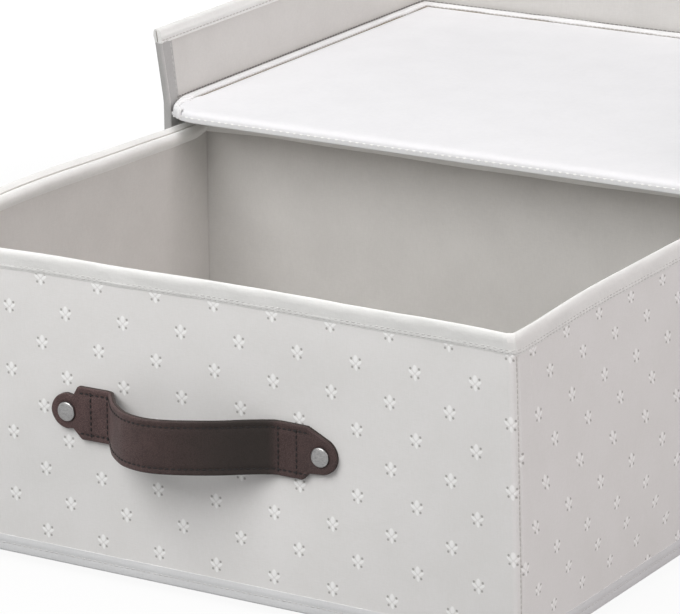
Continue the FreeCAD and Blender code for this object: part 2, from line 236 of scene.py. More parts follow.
def millimetres(tree):
    """A place on the piece itself, in millimetres."""
    place = tree.node("ShaderNodeTexCoord", output=3)
    return tree.node("ShaderNodeVectorMath", {0: place, "Scale": 1000.0}, operation="SCALE")


def finished(tree, height, strength, depth, inputs):
    """Ends a material's tree in a surface, bumped by a height and with other inputs of its own."""
    bump = tree.node("ShaderNodeBump", {"Strength": strength, "Distance": depth, "Height": height})
    surface = tree.node("ShaderNodeBsdfPrincipled", {**inputs, "Normal": bump})
    tree.node("ShaderNodeOutputMaterial", {"Surface": surface})


def floret(at_mm):
    """Masks of one printed floret: its four pale petals and the four grey dots between them."""
    pale = 0.0
    for x, y, turn, wide, long in floret_petals:
        inside = at_mm.node("ShaderNodeMapping", {"Vector": at_mm, "Location": (x, y, 0),
                                                  "Rotation": (0, 0, turn), "Scale": (wide, long, 1)},
                            vector_type="TEXTURE")
        away = at_mm.node("ShaderNodeVectorMath", {0: inside}, output=1, operation="LENGTH")
        pale = at_mm.maths("MAXIMUM", smooth(away, 0.7, 1.2, 1, 0), pale)
    grey = 0.0
    for x, y in floret_dots:
        away = at_mm.node("ShaderNodeVectorMath", {0: at_mm, 1: (x, y, 0)}, output=1, operation="DISTANCE")
        grey = at_mm.maths("MAXIMUM", smooth(away, 0.45, 1.0, 1, 0), grey)
    return pale, grey


def cloth_material(name, light, dark, printed=False, depth=0.00012, crinkle=0.0):
    """Close-woven matt cloth: two crossed sets of slubby threads and a faint cloudiness."""
    made = bpy.data.materials.new(name)
    yarn = emptied(made)
    at = millimetres(yarn)
    warp = stretched_noise(at, (1.7, 1.7, 0.3))
    weft = stretched_noise(at, (0.35, 0.35, 1.9))
    cloud = stretched_noise(at, (0.035, 0.035, 0.035), 3.0)
    threads = warp * 0.5 + weft * 0.5
    colour = blend(smooth(threads * 0.55 + cloud * 0.45, 0.3, 0.7), srgb(*dark), srgb(*light))
    height = threads + stretched_noise(at, (0.3, 0.3, 0.4), 3.0) * crinkle
    if printed:
        across = yarn.node("ShaderNodeSeparateXYZ", {0: yarn.node("ShaderNodeUVMap", uv_map="print")})
        up = across.beside("Y")
        row = yarn.maths("ROUND", up)
        moved = across - yarn.maths("FLOORED_MODULO", row, 2.0) * print_shift
        here = yarn.node("ShaderNodeCombineXYZ",
                         {0: (moved - yarn.maths("ROUND", moved)) * (print_repeat * floret_scale),
                          1: (up - row) * (print_row * floret_scale)})
        pale, grey = floret(here)
        colour = blend(pale, colour, srgb(250, 250, 249))
        colour = blend(grey * 0.85, colour, srgb(166, 164, 161))
        height = height + pale * 0.8 - grey * 1.2
    roughness = smooth(threads, 0.2, 0.8, cloth_roughness + 0.06, cloth_roughness - 0.06)
    finished(yarn, height, 0.6, depth, {"Base Color": colour, "Roughness": roughness,
                                        "Specular IOR Level": 0.25, "Sheen Weight": 0.06})
    return made


def card_material():
    """Grey-brown pressed card with short fibres and a faint cloudiness."""
    made = bpy.data.materials.new("card")
    pulp = emptied(made)
    at = millimetres(pulp)
    fibre = stretched_noise(at, (0.5, 2.2, 1.1), 4.0)
    cloud = stretched_noise(at, (0.05, 0.05, 0.05), 2.0)
    shade = smooth(fibre * 0.6 + cloud * 0.4, 0.3, 0.7)
    colour = blend(shade, srgb(148, 132, 108), srgb(178, 163, 138))
    finished(pulp, fibre, 0.5, 0.0001, {"Base Color": colour, "Roughness": 0.9})
    return made


printed_cloth = cloth_material("printed_cloth", (233, 232, 231), (227, 226, 224), printed=True)
plain_cloth = cloth_material("plain_cloth", (236, 236, 234), (229, 229, 227), crinkle=2.6)
# Edge tape: partly its own grey and partly painted shade, darker to stand in for the soft shadow along the
# walls' free front edges.
edge_cloth = cloth_material("edge_cloth", (182, 181, 180), (172, 171, 170))
foot_cloth = cloth_material("foot_cloth", (224, 225, 226), (216, 217, 218))
# Lining: partly its own warmer grey and partly painted shade, darker than the other cloth to stand in for
# the shade inside the drawer and the case.
lining_cloth = cloth_material("lining_cloth", (212, 210, 207), (204, 202, 199))
card = card_material()


def walk(corners, closed, step=6.0):
    """A rounded line through corners (x, y, radius): distance along it, place and outward direction."""
    count = len(corners)
    places, outward = [], []
    for i, (x, y, radius) in enumerate(corners):
        here = np.array((x, y), float)
        way_in = here - corners[i - 1][:2]
        way_out = np.array(corners[(i + 1) % count][:2], float) - here
        way_in, way_out = way_in / np.linalg.norm(way_in), way_out / np.linalg.norm(way_out)
        if not closed and i in (0, count - 1):
            way = way_in if i else way_out
            places.append(here)
            outward.append(np.array((way[1], -way[0])))
            continue
        middle = here - way_in * radius + way_out * radius
        start = math.atan2(-way_in[0], way_in[1])
        arc_steps = max(3, round(radius * 3))
        for k in range(arc_steps + 1):
            turn = start + k / arc_steps * math.pi / 2
            direction = np.array((math.cos(turn), math.sin(turn)))
            places.append(middle + direction * radius)
            outward.append(direction)
    if closed:
        places.append(places[0])
        outward.append(outward[0])
    fine_places, fine_outward = [places[0]], [outward[0]]
    for p, q, n, m in zip(places, places[1:], outward, outward[1:]):
        parts = max(1, int(round(np.linalg.norm(q - p) / step)))
        for k in range(1, parts + 1):
            fine_places.append(p + (q - p) * k / parts)
            fine_outward.append(n + (m - n) * k / parts)
    fine_places, fine_outward = np.array(fine_places), np.array(fine_outward)
    lengths = np.linalg.norm(np.diff(fine_places, axis=0), axis=1)
    low, high = fine_places.min(0), fine_places.max(0)
    middle = (low + high) / 2 if closed else np.array(((low[0] + high[0]) / 2, low[1]))
    return {"u": np.concatenate([[0], np.cumsum(lengths)]), "at": fine_places, "out": fine_outward,
            "tight": min(radius for x, y, radius in corners if radius) - 0.2,
            "middle": middle, "half": high - middle}


def beside(line, u, inset):
    """The point at distance u along a walked line, inset from it, for arrays of both. What is
    inset by more than the tightest corner's radius is drawn towards the middle, so it never folds."""
    columns = np.hstack([line["at"], line["out"]]).T
    x, y, out_x, out_y = (np.interp(u, line["u"], column) for column in columns)
    size = np.hypot(out_x, out_y)
    turned = np.minimum(inset, line["tight"])
    rest = inset - turned
    (middle_x, middle_y), (half_x, half_y) = line["middle"], line["half"]
    x, y = x - out_x / size * turned, y - out_y / size * turned
    return (middle_x + (x - middle_x) * (1 - rest / half_x),
            middle_y + (y - middle_y) * (1 - rest / half_y))


def stations(line, start, end):
    """The distances along a walked line between start and end, both included."""
    inner = line["u"][(line["u"] > start + 0.2) & (line["u"] < end - 0.2)]
    return np.concatenate([[start], inner, [end]])


def shaped(name, points, faces, material, sharp):
    """A smooth piece from points in millimetres, crisp where it turns by more than sharp degrees."""
    mesh = bpy.data.meshes.new(name)
    mesh.from_pydata((np.asarray(points) * 0.001).tolist(), [], faces)
    mesh.shade_smooth()
    mesh.set_sharp_from_angle(angle=math.radians(sharp))
    mesh.materials.append(material)
    made = bpy.data.objects.new(name, mesh)
    scene.collection.objects.link(made)
    return made


def swept(name, rings, material, closed=False, print_at=None, sharp=35):
    """A closed skin through rings of points in millimetres. Each ring is a closed loop whose
    first half lies against its second half, so the ends are closed with strips."""
    path, loop = rings.shape[:2]
    index = np.arange(path * loop).reshape(path, loop)
    here = index if closed else index[:-1]
    after = np.roll(index, -1, axis=0) if closed else index[1:]
    quads = np.stack([here, after, np.roll(after, -1, axis=1), np.roll(here, -1, axis=1)], -1)
    quads = quads.reshape(-1, 4)
    if not closed:
        half = np.arange(loop // 2 - 1)
        strip = np.stack([half, half + 1, loop - 2 - half, loop - 1 - half], -1)
        quads = np.concatenate([quads, strip, strip[:, ::-1] + (path - 1) * loop])
    points = rings.reshape(-1, 3)
    a, b, c, d = (points[quads[:, k]] for k in range(4))
    if ((a * np.cross(b, c)).sum() + (a * np.cross(c, d)).sum()) < 0:
        quads = quads[:, ::-1]
    made = shaped(name, points, quads.tolist(), material, sharp)
    if print_at is not None:
        layer = made.data.uv_layers.new(name="print")
        layer.data.foreach_set("uv", print_at.reshape(-1, 2)[quads.ravel()].astype(np.float32).ravel())
    return made


def fit(piece, body, slot, *nodes):
    """Hangs a finished piece on its body, in place of the nodes that it stands for."""
    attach(piece, body)
    if nodes:
        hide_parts(*nodes)
    return piece


def spots(x, y, z):
    """Points from their three coordinates, which may be arrays or single values."""
    return np.stack(np.broadcast_arrays(x, y, z), -1)


def unevenness(points, size, seed):
    """A smooth value from -1 to 1 for each point, that changes over about size millimetres."""
    shift = Vector((seed * 17.3, seed * 5.1, seed * 9.7))
    values = [noise.noise(Vector(p) / size + shift) for p in points.reshape(-1, 3).tolist()]
    return np.array(values).reshape(points.shape[:-1])


case_line = walk([(case_half, case_front - line_overrun, 0), (case_half, case_back, case_corner),
                  (-case_half, case_back, case_corner), (-case_half, case_front - line_overrun, 0)],
                 False)
case_line["u"] = case_line["u"] - line_overrun
case_length = case_line["u"][-1] - line_overrun
right_corner = case_back - case_front - case_corner
left_corner = case_length - right_corner


def case_point(u, inset, z):
    """A point in the case's wall: distance round it from the right wall's front, inset and height.
    The walls lean out above the deck, and below it their free front edges draw back a little."""
    x, y = beside(case_line, u, inset)
    above_deck = np.clip((z - deck_top) / (rim_top - deck_top), 0, 1)
    free_edge = np.clip((case_front + free_edge_depth - y) / free_edge_depth, 0, 1.1) ** 1.5
    free_edge = free_edge * np.clip(z / 90, 0, 1) * (1 - above_deck)
    x = x * (1 + rim_lean / case_half * above_deck) * (1 - 0.006 * free_edge)
    return spots(x, y + free_edge_back * free_edge, z)


def wall_sheet(name, point, line, start, end, low, high, near, far, material, relief, seed,
               print_from=None, print_at=None, creased_at=None):
    """One cloth or board of a wall, between two distances along its line and two heights. A cover
    can have a short upright crease under its hem."""
    columns = stations(line, start, end)
    if creased_at is not None:
        columns = np.unique(np.concatenate([columns, creased_at + np.arange(-3.0, 5.5, 0.5)]))
    rows = np.concatenate([np.linspace(low, high - hem_zone, max(4, int((high - low) / 6))),
                           np.linspace(high - hem_zone, high, 12)[1:]])
    u, z = np.meshgrid(columns, rows, indexing="ij")
    outer = point(u, near, z)
    if relief:
        groove = seam_slack * np.exp(-(np.minimum(u - start, end - u) / seam_width) ** 2)
        waves = unevenness(outer, 70, seed) * 0.65 + unevenness(outer, 22, seed + 3) * 0.35
        loose = relief * np.clip((high - 8 - z) / hem_zone, 0.15, 1)
        crease = 0.0
        if creased_at is not None:
            crease = crease_depth * np.clip((z - high + 40) / 24, 0, 1)
            crease = crease * np.exp(-((u - creased_at - 0.05 * (high - z)) / crease_width) ** 2)
        outer = point(u, near - loose * (0.5 + 0.5 * waves) + groove + crease, z)
    rings = np.concatenate([outer, point(u, far, z)[:, ::-1]], axis=1)
    if print_from is None:
        return swept(name, rings, material)
    across, up = print_at(u, z) if print_at else (u, z)
    both = np.stack([(across - print_from[0]) / print_repeat, (up - print_from[1]) / print_row], -1)
    return swept(name, rings, material, print_at=np.concatenate([both, both[:, ::-1]], axis=1))


def layered(body, side, point, line, start, end, thick, seed, spans, **printed):
    """A wall in three layers: its printed cover, its board and its lining. Each has its lowest and
    highest edge, its relief and the step from the wall's seed to its own."""
    layers = (("cloth", "printed_cloth", "cover", printed_cloth, 0.0, cloth, printed),
              ("card", "board", "board", card, cloth, thick - cloth, {}),
              ("lining_cloth", "lining_cloth", "lining", lining_cloth, thick, thick - cloth, {}))
    for (what, slot, node, material, near, far, more), (low, high, relief, step) in zip(layers, spans):
        sheet = wall_sheet(f"{body}_{side}_{what}", point, line, start, end, low, high, near, far,
                           material, relief, seed + step, **more)
        fit(sheet, body, slot, f"{body}_{side}_{node}")


case_spans = ((cloth, rim_top - 2.2, 0.3, 0), (cloth, rim_top - 1.5, 0.0, 0),
              (cloth, rim_top - 2.2, -0.2, 5))
for side, start, end, seed in (("right", 0.0, right_corner, 40), ("back", right_corner, left_corner, 51),
                               ("left", left_corner, case_length, 62)):
    layered("case", side, case_point, case_line, start, end, case_wall, seed, case_spans,
            print_from=(start + 12.0, print_height))


# ----------------------------------------------
# Case floor: a stiff card board with a plain cloth glued under it and a lining glued on it.
# A tape closes its front edge, and is made with the case's other bindings.
# ----------------------------------------------
floor_lining_back = 138.0
floor_board_top = 3.0


def flat_sheet(name, half_width, front, back, low, high, material):
    """A cloth laid flat on a board, with its edges cut square."""
    x, y = np.meshgrid(np.linspace(-half_width, half_width, 50), np.linspace(front, back, 40),
                       indexing="ij")
    rings = np.concatenate([spots(x, y, high), spots(x, y, low)[:, ::-1]], axis=1)
    return swept(name, rings, material)


fit(flat_sheet("case_bottom_cloth", case_half, case_front, case_back, 0.0, cloth, plain_cloth),
    "case", "plain_cloth", "case_bottom_cover")
fit(flat_sheet("case_floor_lining_cloth", case_inner_half, case_front, floor_lining_back,
               floor_board_top, floor_board_top + cloth, lining_cloth),
    "case", "lining_cloth", "case_floor_lining")


# ----------------------------------------------
# Case hems and bindings: the rim is closed by a hem folded over all three walls, the free
# front edges of the walls and floor by a sewn tape, and the foot by a plain strip.
# ----------------------------------------------
rim_hem = 8.2
rim_hem_swell = 0.25
rim_hem_shut = 0.12
edge_tape_outside = 8.0
edge_tape_inside = 10.0
edge_tape_over_hem = 0.6
floor_tape_short = 0.8
case_foot_height = 8.0


def bent(points, steps=5):
    """A smooth line through points, with steps from each point to the next."""
    points = np.array(points, float)
    padded = np.concatenate([[2 * points[0] - points[1]], points, [2 * points[-1] - points[-2]]])
    out = []
    for p, q, r, s in zip(padded, padded[1:], padded[2:], padded[3:]):
        for t in np.arange(steps) / steps:
            out.append(0.5 * (2 * q + (r - p) * t + (2 * p - 5 * q + 4 * r - s) * t * t
                              + (3 * q - p - 3 * r + s) * t ** 3))
    out.append(points[-1])
    return np.array(out)


def doubled(line, thickness):
    """A closed loop from the open line that a fold shows outside, with its inside to the left."""
    along = np.gradient(line, axis=0)
    along /= np.linalg.norm(along, axis=1)[:, None]
    inside = line + np.stack([-along[:, 1], along[:, 0]], -1) * thickness
    return np.concatenate([line, inside[::-1]])


def swept_round(name, point, columns, loop, material, closed, pucker=0.0, shut_at=None):
    """A hem or tape: a loop of (inset, height) carried along a wall. It can be puckered, and its
    two ends can be pressed shut at one inset."""
    u, inset = (np.array(grid) for grid in np.broadcast_arrays(columns[:, None], loop[None, :, 0]))
    if shut_at is not None:
        inset[[0, -1]] = shut_at + rim_hem_shut * (inset[[0, -1]] - shut_at)
    z = np.broadcast_to(loop[None, :, 1], inset.shape)
    if pucker:
        outer = point(u, inset, z)
        share = np.clip((z - z.min()) / 2, 0, 1) * np.clip((z.max() - z) / 2, 0, 1)
        inset = inset + pucker * share * (unevenness(outer, 15, 21) + 0.6 * unevenness(outer, 7, 22))
    return swept(name, point(u, inset, z), material, closed=closed)


hem_end = rim_top - rim_hem
rim_line = bent([(-0.55, hem_end - 0.1), (-0.5, hem_end + 1.5), (-0.6 - rim_hem_swell, hem_end + 4.0),
                 (-0.6, rim_top - 3.2), (0.1, rim_top - 0.95), (case_wall / 2, rim_top),
                 (case_wall - 0.1, rim_top - 0.95), (case_wall + 0.6, rim_top - 3.2),
                 (case_wall + 0.8 + rim_hem_swell, hem_end + 3.4), (case_wall + 0.45, hem_end + 1.4),
                 (case_wall + 0.75, hem_end + 0.5), (case_wall + 0.7, hem_end - 0.1)])
rim_columns = np.concatenate([[-0.75], stations(case_line, -0.3, case_length + 0.3), [case_length + 0.75]])
fit(swept_round("case_rim_hem_cloth", case_point, rim_columns, doubled(rim_line[::-1], 0.6), plain_cloth,
                False, shut_at=case_wall / 2),
    "case", "plain_cloth", "case_rim_hem")

foot_line = bent([(-0.6, 0.1), (-0.62, 2.0), (-0.62, 6.0), (-0.55, case_foot_height)])
foot_columns = stations(case_line, -0.6, case_length + 0.6)[1:-1]
fit(swept_round("case_foot_tape", case_point, foot_columns, doubled(foot_line[::-1], 0.55), foot_cloth,
                False),
    "case", "plain_cloth", "case_foot_binding")

edge_line = bent([(edge_tape_outside, -0.55), (edge_tape_outside - 1.2, -0.62), (3.0, -0.7), (0.3, -0.6),
                  (-0.55, 0.6), (-0.6, 1.8), (-0.55, 3.0), (0.3, case_wall + 0.6),
                  (3.0, case_wall + 0.75), (edge_tape_inside - 2.5, case_wall + 0.7),
                  (edge_tape_inside, case_wall + 0.35)])
edge_loop = doubled(edge_line[::-1], 0.55)
for side, start, way in (("right", 0.0, 1.0), ("left", case_length, -1.0)):
    z = np.linspace(0.1, hem_end + edge_tape_over_hem, 60)[:, None]
    u = start + way * edge_loop[None, :, 0]
    tape_rings = case_point(*np.broadcast_arrays(u, edge_loop[None, :, 1], z))
    fit(swept(f"{side}_edge_tape", tape_rings, edge_cloth), "case", "plain_cloth", f"{side}_edge_binding")

floor_line = bent([(8.0, -0.0), (5.0, -0.0), (0.2, 0.05), (-0.55, 0.9), (-0.6, 1.8), (-0.55, 2.7),
                   (0.2, 4.0), (5.0, 4.15), (8.0, 4.0)])
floor_loop = doubled(floor_line[::-1], 0.5)
tape_half = case_inner_half - floor_tape_short
x = np.linspace(-tape_half, tape_half, 60)[:, None]
floor_rings = spots(x, case_front + floor_loop[:, 0], floor_loop[:, 1])
fit(swept("floor_edge_tape", floor_rings, plain_cloth), "case", "plain_cloth", "floor_edge_binding")


# ----------------------------------------------
# Deck: a board in white cloth. The cloth rolls over the front edge and is sewn down there;
# a stout tape is bound round the sides, the back and the two rounded front corners.
# ----------------------------------------------
deck_front = -153.6
deck_inner_back = 138.0
deck_corner = 28.0
deck_back_corner = 1.6
deck_seam_height = 169.2
deck_cloth_thick = 0.6
deck_tape_width = 7.4
deck_tape_end = 170.0
deck_under = 167.0
deck_tape_thick = 0.75
deck_tape_wander = 1.3
pucker_pitch = 5.2
pucker_depth = 2.6

deck_cloth = cloth_material("deck_cloth", (235, 235, 237), (230, 230, 232), depth=0.00008)
deck_tape = cloth_material("deck_tape", (238, 238, 238), (228, 228, 229), depth=0.0002)
deck_line = walk([(-case_inner_half, deck_front, deck_corner), (case_inner_half, deck_front, deck_corner),
                  (case_inner_half, deck_inner_back, deck_back_corner),
                  (-case_inner_half, deck_inner_back, deck_back_corner)], True, step=3.0)
deck_u = deck_line["u"][:-1]
deck_x, deck_y = beside(deck_line, deck_u, 0)
deck_middle = np.array((0.0, (deck_front + deck_inner_back) / 2, 0.0))


def eased(share):
    """A share from 0 to 1 that starts and ends slowly."""
    return share * share * (3 - 2 * share)


def mixed(first, second, share):
    """Rings of (inset, height) round the deck, from one line where share is 0 to another where it is 1."""
    share = share[:, None, None]
    return first[None] * (1 - share) + second[None] * share


def deck_place(rings, u=deck_u):
    """Points of the deck from rings of (inset, height)."""
    x, y = beside(deck_line, np.broadcast_to(u[:, None], rings.shape[:2]), rings[..., 0])
    return np.stack([x, y, rings[..., 1]], -1)


def shrunk(rim, centre, shares):
    """Rings that shrink towards a centre, from a rim of points."""
    return np.stack([centre + (rim - centre) * (share, share, 1) for share in shares], 1)


def disc(name, top, under, centre, material):
    """A sheet from two grids of rings, joined at the rim and each closed to a point at a centre."""
    around, rings = top.shape[:2]
    count = around * rings
    middles = [(centre[0], centre[1], face[:, -1, 2].mean()) for face in (top, under)]
    index = np.arange(count).reshape(around, rings)
    after = np.roll(index, -1, axis=0)
    quads = np.stack([index[:, :-1], after[:, :-1], after[:, 1:], index[:, 1:]], -1).reshape(-1, 4)
    rim = np.stack([after[:, 0], index[:, 0], index[:, 0] + count, after[:, 0] + count], -1)
    last = list(zip(index[:, -1].tolist(), after[:, -1].tolist()))
    fans = [(a, b, 2 * count) for a, b in last] + [(b + count, a + count, 2 * count + 1) for a, b in last]
    faces = np.concatenate([quads, quads[:, ::-1] + count, rim]).tolist() + fans
    points = np.concatenate([top.reshape(-1, 3), under.reshape(-1, 3), middles])
    return shaped(name, points, faces, material, 50)


def lid(name, top, thickness, material):
    """A thin sheet over or under the deck. Its thickness goes inward at the rim and down elsewhere."""
    inward = deck_middle[:2] - top[:, 0, :2]
    inward /= np.linalg.norm(inward, axis=1)[:, None]
    steep = np.clip(1 - np.arange(top.shape[1]) / 5, 0, 1)[None, :, None]
    under = top.copy()
    under[..., :2] += inward[:, None] * thickness * steep
    under[..., 2] -= thickness * (1 - steep[..., 0] * 0.9)
    return disc(name, top, under, deck_middle, material)


side_top = np.array([(4.6, 171.0), (5.2, 171.1), (5.8, 171.2), (6.4, 171.3), (7.0, 171.35), (7.6, 171.5),
                     (8.4, 171.9), (9.6, 172.25), (11.5, 172.4), (14, 172.45), (18, 172.5), (24, 172.5)])
front_top = np.array([(0.1, deck_seam_height - 0.4), (-0.05, deck_seam_height + 0.5), (0.1, 170.4),
                      (0.6, 171.2), (1.5, 171.85), (2.9, 172.3), (4.8, 172.55), (7.2, 172.65),
                      (10, 172.6), (13, 172.55), (18, 172.5), (24, 172.5)])
in_front = eased(np.clip((deck_front + deck_corner + 4 - deck_y) / 16, 0, 1))
top_rings = deck_place(mixed(side_top, front_top, in_front))
spread = shrunk(top_rings[:, -1], deck_middle, (0.86, 0.72, 0.58, 0.44, 0.3, 0.16))
top_rings = np.concatenate([top_rings, spread], axis=1)
edge_share = np.clip((np.arange(top_rings.shape[1]) - 6) / 6, 0, 1)[None]
top_rings[..., 2] += 0.35 * unevenness(top_rings, 90, 5) * edge_share
fit(lid("deck_top_cloth", top_rings, deck_cloth_thick, deck_cloth), "case", "deck_cloth", "deck_cover")

under_x, under_y = beside(deck_line, deck_u, 1.2)
under_rings = shrunk(spots(under_x, under_y, deck_under), deck_middle, (1.0, 0.9, 0.7, 0.5, 0.3, 0.15))
fit(lid("deck_under_cloth", under_rings, 0.55, lining_cloth), "case", "lining_cloth", "deck_underside")

side_tape = bent([(deck_tape_width, 171.5), (deck_tape_width - 0.1, 173.0), (6.3, 173.9), (4.7, 174.2),
                  (3.0, 173.8), (1.9, 172.7), (1.4, 170.6), (1.4, 168.0), (2.0, 166.5), (4.0, 166.1),
                  (7.0, 166.15)], 4)
dived_tape = bent([(1.8, 172.0), (1.4, 172.9), (0.5, 173.0), (-0.4, 172.4), (-1.1, 171.2), (-1.3, 169.7),
                   (-1.3, 168.2), (-0.9, 167.0), (0.6, 166.3), (3.6, 166.15), (7.0, 166.15)], 4)
dive = eased(np.clip((deck_front + deck_corner - 9 - deck_y) / 15, 0, 1))
tape_lines = mixed(side_tape, dived_tape, dive)
wave_at = spots(deck_x, deck_y, 0.0)
crumple = np.exp(-((deck_y - deck_front - 12) / 14) ** 2)
pucker = np.abs(np.sin(math.pi * deck_u / pucker_pitch + 2 * unevenness(wave_at, 12, 8)))
pucker = -pucker_depth * np.clip(1 - pucker / 0.5, 0, 1) * crumple
at_back = np.clip((deck_y - 40) / 60, 0.2, 1)
wander = deck_tape_wander * (unevenness(wave_at, 26, 11) + 0.5 * unevenness(wave_at, 9, 12)) * at_back
tape_lines[:, :12, 0] += wander[:, None] * np.linspace(1, 0.2, 12)[None]
tape_lines[:, 4:24, 1] += pucker[:, None]
tape_lines[:, 2:18, 1] += (0.35 * unevenness(wave_at, 15, 14) * at_back)[:, None]
loops = np.array([doubled(line, deck_tape_thick) for line in tape_lines])
deck_run = 2 * (case_inner_half - deck_corner)
order = np.argsort((deck_u - deck_run) % deck_line["u"][-1])
on_tape = order[(abs(deck_x[order]) >= deck_tape_end) | (deck_y[order] > 0)]
tape_rings = deck_place(loops[on_tape], deck_u[on_tape])
fit(swept("deck_side_tape", tape_rings, deck_tape), "case", "deck_cloth", "deck_edge_binding")

band_line = bent([(7.0, 166.2), (3.0, 166.15), (0.6, 166.2), (-0.6, 166.7), (-0.75, 167.6),
                  (-0.7, deck_seam_height - 0.6), (-0.6, deck_seam_height + 0.2)], 4)
deck_arc = math.pi / 2 * deck_corner
band_from, band_to = 0.7 * deck_arc, 1.3 * deck_arc + deck_run
band_u = np.arange(band_from, band_to, 3.0)
band_loop = np.broadcast_to(doubled(band_line[::-1], 0.45), (len(band_u), 2 * len(band_line), 2))
fit(swept("deck_front_tape", deck_place(band_loop, band_u), foot_cloth), "case", "deck_cloth",
    "deck_front_binding")


# ----------------------------------------------
# Stitches of the deck and the case: twisted thread in rows, through the deck's front edge
# and tape, the rim's hem, the foot strip and the edge tapes. Geometry Nodes lay each stitch
# as a short bead along a row of points.
# ----------------------------------------------
row_step = 2.0
seam_stitch = (4.4, 3.2, 0.45)
tape_stitch = (2.9, 2.8, 0.4)
hem_stitch = (3.4, 2.8, 0.3)
strip_stitch = (3.4, 2.5, 0.26)


def sewing_tree():
    """Geometry Nodes that lay a row of stitches along a line, each a short bead of thread."""
    tree = bpy.data.node_groups.new("sewing", "GeometryNodeTree")
    face = tree.interface
    face.new_socket("Line", in_out="INPUT", socket_type="NodeSocketGeometry")
    for name in ("Pitch", "Stitch length", "Thread radius"):
        face.new_socket(name, in_out="INPUT", socket_type="NodeSocketFloat")
    face.new_socket("Slant", in_out="INPUT", socket_type="NodeSocketFloat").default_value = 0.05
    face.new_socket("Thread", in_out="INPUT", socket_type="NodeSocketMaterial")
    face.new_socket("Stitches", in_out="OUTPUT", socket_type="NodeSocketGeometry")
    row = Strand(tree)
    given = tree.nodes.new("NodeGroupInput")
    take = {socket.name: Strand(tree, socket) for socket in given.outputs if socket.name}
    curve = row.node("GeometryNodeMeshToCurve", {0: take["Line"]})
    curve = row.node("GeometryNodeResampleCurve", {"Curve": curve, "Length": take["Pitch"]}, mode="LENGTH")
    turn = row.node("FunctionNodeAlignRotationToVector", {"Vector": row.node("GeometryNodeInputTangent")},
                    axis="X")
    slant = row.node("FunctionNodeRandomValue", {2: take["Slant"] * -1.0, 3: take["Slant"], "Seed": 4},
                     output=1, data_type="FLOAT")
    tilt = row.node("ShaderNodeCombineXYZ", {0: 0.0, 1: slant, 2: slant})
    tilt = row.node("FunctionNodeEulerToRotation", {0: tilt})
    turn = row.node("FunctionNodeRotateRotation", {0: turn, 1: tilt}, rotation_space="LOCAL")
    size = row.node("ShaderNodeCombineXYZ", {0: take["Stitch length"] * 0.5, 1: take["Thread radius"],
                                             2: take["Thread radius"]})
    bead = row.node("GeometryNodeMeshUVSphere", {"Segments": 8, "Rings": 6, "Radius": 1.0})
    bead = row.node("GeometryNodeTransform", {"Geometry": bead, "Scale": size})
    bead = row.node("GeometryNodeSetShadeSmooth", {0: bead})
    placed = row.node("GeometryNodeInstanceOnPoints", {"Points": curve, "Instance": bead, "Rotation": turn})
    placed = row.node("GeometryNodeRealizeInstances", {0: placed})
    placed = row.node("GeometryNodeSetMaterial", {"Geometry": placed, "Material": take["Thread"]})
    row.node("NodeGroupOutput", {0: placed})
    return tree


sewing = sewing_tree()


def sew(name, lines, stitch, thread, body, slot):
    """Rows of stitches, each of a pitch, length and thread radius, along lines of points in
    millimetres. A line that ends where it starts is a loop."""
    points, edges = [], []
    for line in lines:
        first = len(points)
        closed = np.linalg.norm(line[0] - line[-1]) < 0.01
        points += (np.array(line[:-1] if closed else line) * 0.001).tolist()
        edges += [(i, i + 1) for i in range(first, len(points) - 1)]
        if closed:
            edges.append((len(points) - 1, first))
    mesh = bpy.data.meshes.new(name)
    mesh.from_pydata(points, edges, [])
    rows = bpy.data.objects.new(name + "_line", mesh)
    scene.collection.objects.link(rows)
    nodes = rows.modifiers.new("sewing", "NODES")
    nodes.node_group = sewing
    sizes = [size * 0.001 for size in stitch]
    values = dict(zip(("Pitch", "Stitch length", "Thread radius"), sizes), Thread=thread)
    for socket in sewing.interface.items_tree:
        if socket.name in values:
            nodes[socket.identifier] = values[socket.name]
    sewn = rows.evaluated_get(bpy.context.evaluated_depsgraph_get())
    made = bpy.data.objects.new(name, bpy.data.meshes.new_from_object(sewn))
    bpy.data.objects.remove(rows)
    scene.collection.objects.link(made)
    return fit(made, body, slot)


def thread_material(name, light, dark, roughness=0.6):
    """Twisted thread: fine slanting plies."""
    made = bpy.data.materials.new(name)
    ply = emptied(made)
    twist = ply.node("ShaderNodeTexWave", {"Vector": millimetres(ply), "Scale": 1.1, "Distortion": 1.0},
                     wave_type="BANDS", bands_direction="DIAGONAL")
    colour = blend(twist, srgb(*dark), srgb(*light))
    finished(ply, twist, 0.5, 0.0001, {"Base Color": colour, "Roughness": roughness})
    return made


white_thread = thread_material("white_thread", (252, 252, 250), (232, 232, 230))
pale_thread = thread_material("pale_thread", (214, 213, 211), (194, 193, 191))
# Grey thread: its dark grey is partly painted shade, standing in for the dark crevice between the deck's
# tape and the wall.
grey_thread = thread_material("grey_thread", (150, 148, 146), (118, 116, 114))
seam_thread = thread_material("seam_thread", (208, 205, 202), (188, 185, 182))

seam_u = np.arange(band_from + row_step, band_to - row_step, row_step)
seam_x, seam_y = beside(deck_line, seam_u, -0.3)
sew("deck_front_stitches", [spots(seam_x, seam_y, deck_seam_height - 0.1)], seam_stitch, white_thread,
    "case", "deck_cloth")
# The row sewn against the wall is in the grey thread, which is painted shade for the crevice there.
for name, inset, height, thread in (
        ("deck_tape_stitches", loops[on_tape][:, 0, 0] + 0.4, 172.4, seam_thread),
        ("deck_wall_stitches", 0.4, 173.3, grey_thread)):
    x, y = beside(deck_line, deck_u[on_tape], inset)
    row = spots(x, y, height)[y > deck_front + deck_corner - 6]
    sew(name, [row], tape_stitch, thread, "case", "deck_cloth")


def case_row(inset, height):
    """A line of points along the case's walls, at one inset and height."""
    u = np.arange(row_step, case_length - row_step, row_step)
    return case_point(u, inset, height)


